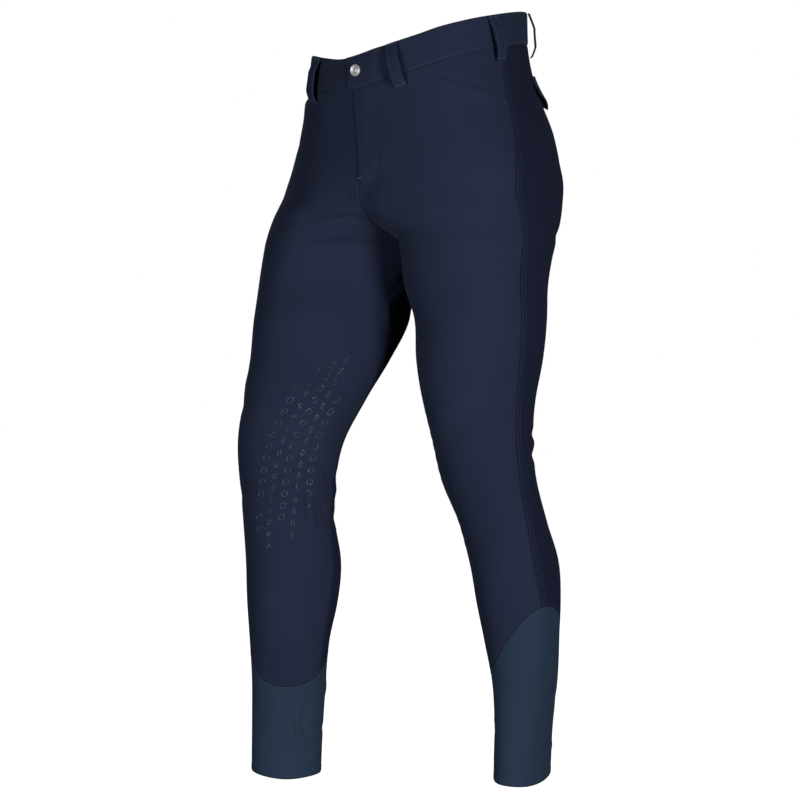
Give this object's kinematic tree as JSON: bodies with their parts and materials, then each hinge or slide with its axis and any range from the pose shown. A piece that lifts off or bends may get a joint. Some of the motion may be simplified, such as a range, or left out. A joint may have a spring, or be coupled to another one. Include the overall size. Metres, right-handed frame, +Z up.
{
  "type": "riding breeches",
  "caption": "Stretch riding breeches with a lapped waistband, belt loops, slanted front pockets, back flaps and calf cuffs, in a standing pose with no wearer.",
  "frame": {"origin": "middle of the waist opening, where the wearer's waist holds the garment up", "axes": "+Z up along the garment, -Y towards its front, +X towards the wearer's left"},
  "size_m": [0.3723, 0.351, 0.9756],
  "materials": {
    "body_cloth": "dark navy stretch twill, matt with a faint sheen",
    "cuff_cloth": "smooth stretch jersey, a little lighter and greener than the body cloth",
    "stitch_thread": "navy polyester sewing thread",
    "grip_print": "thin raised silicone print, grey blue, glossy",
    "button_metal": "satin nickel plating"
  },
  "bodies": {
    "root": {"front_left": "body_cloth", "front_right": "body_cloth", "back_left": "body_cloth", "back_right": "body_cloth", "pocket_facing_left": "body_cloth", "pocket_facing_right": "body_cloth", "waistband_left": "body_cloth", "waistband_right": "body_cloth", "pocket_flap_left": "body_cloth", "pocket_flap_right": "body_cloth", "cuff_left": "cuff_cloth", "cuff_right": "cuff_cloth", "belt_loop_front_left": "body_cloth", "belt_loop_front_right": "body_cloth", "belt_loop_side_left": "body_cloth", "belt_loop_side_right": "body_cloth", "belt_loop_back_left": "body_cloth", "belt_loop_back_right": "body_cloth", "belt_loop_centre_back": "body_cloth", "snap_button": "button_metal"}
  },
  "joints": []
}
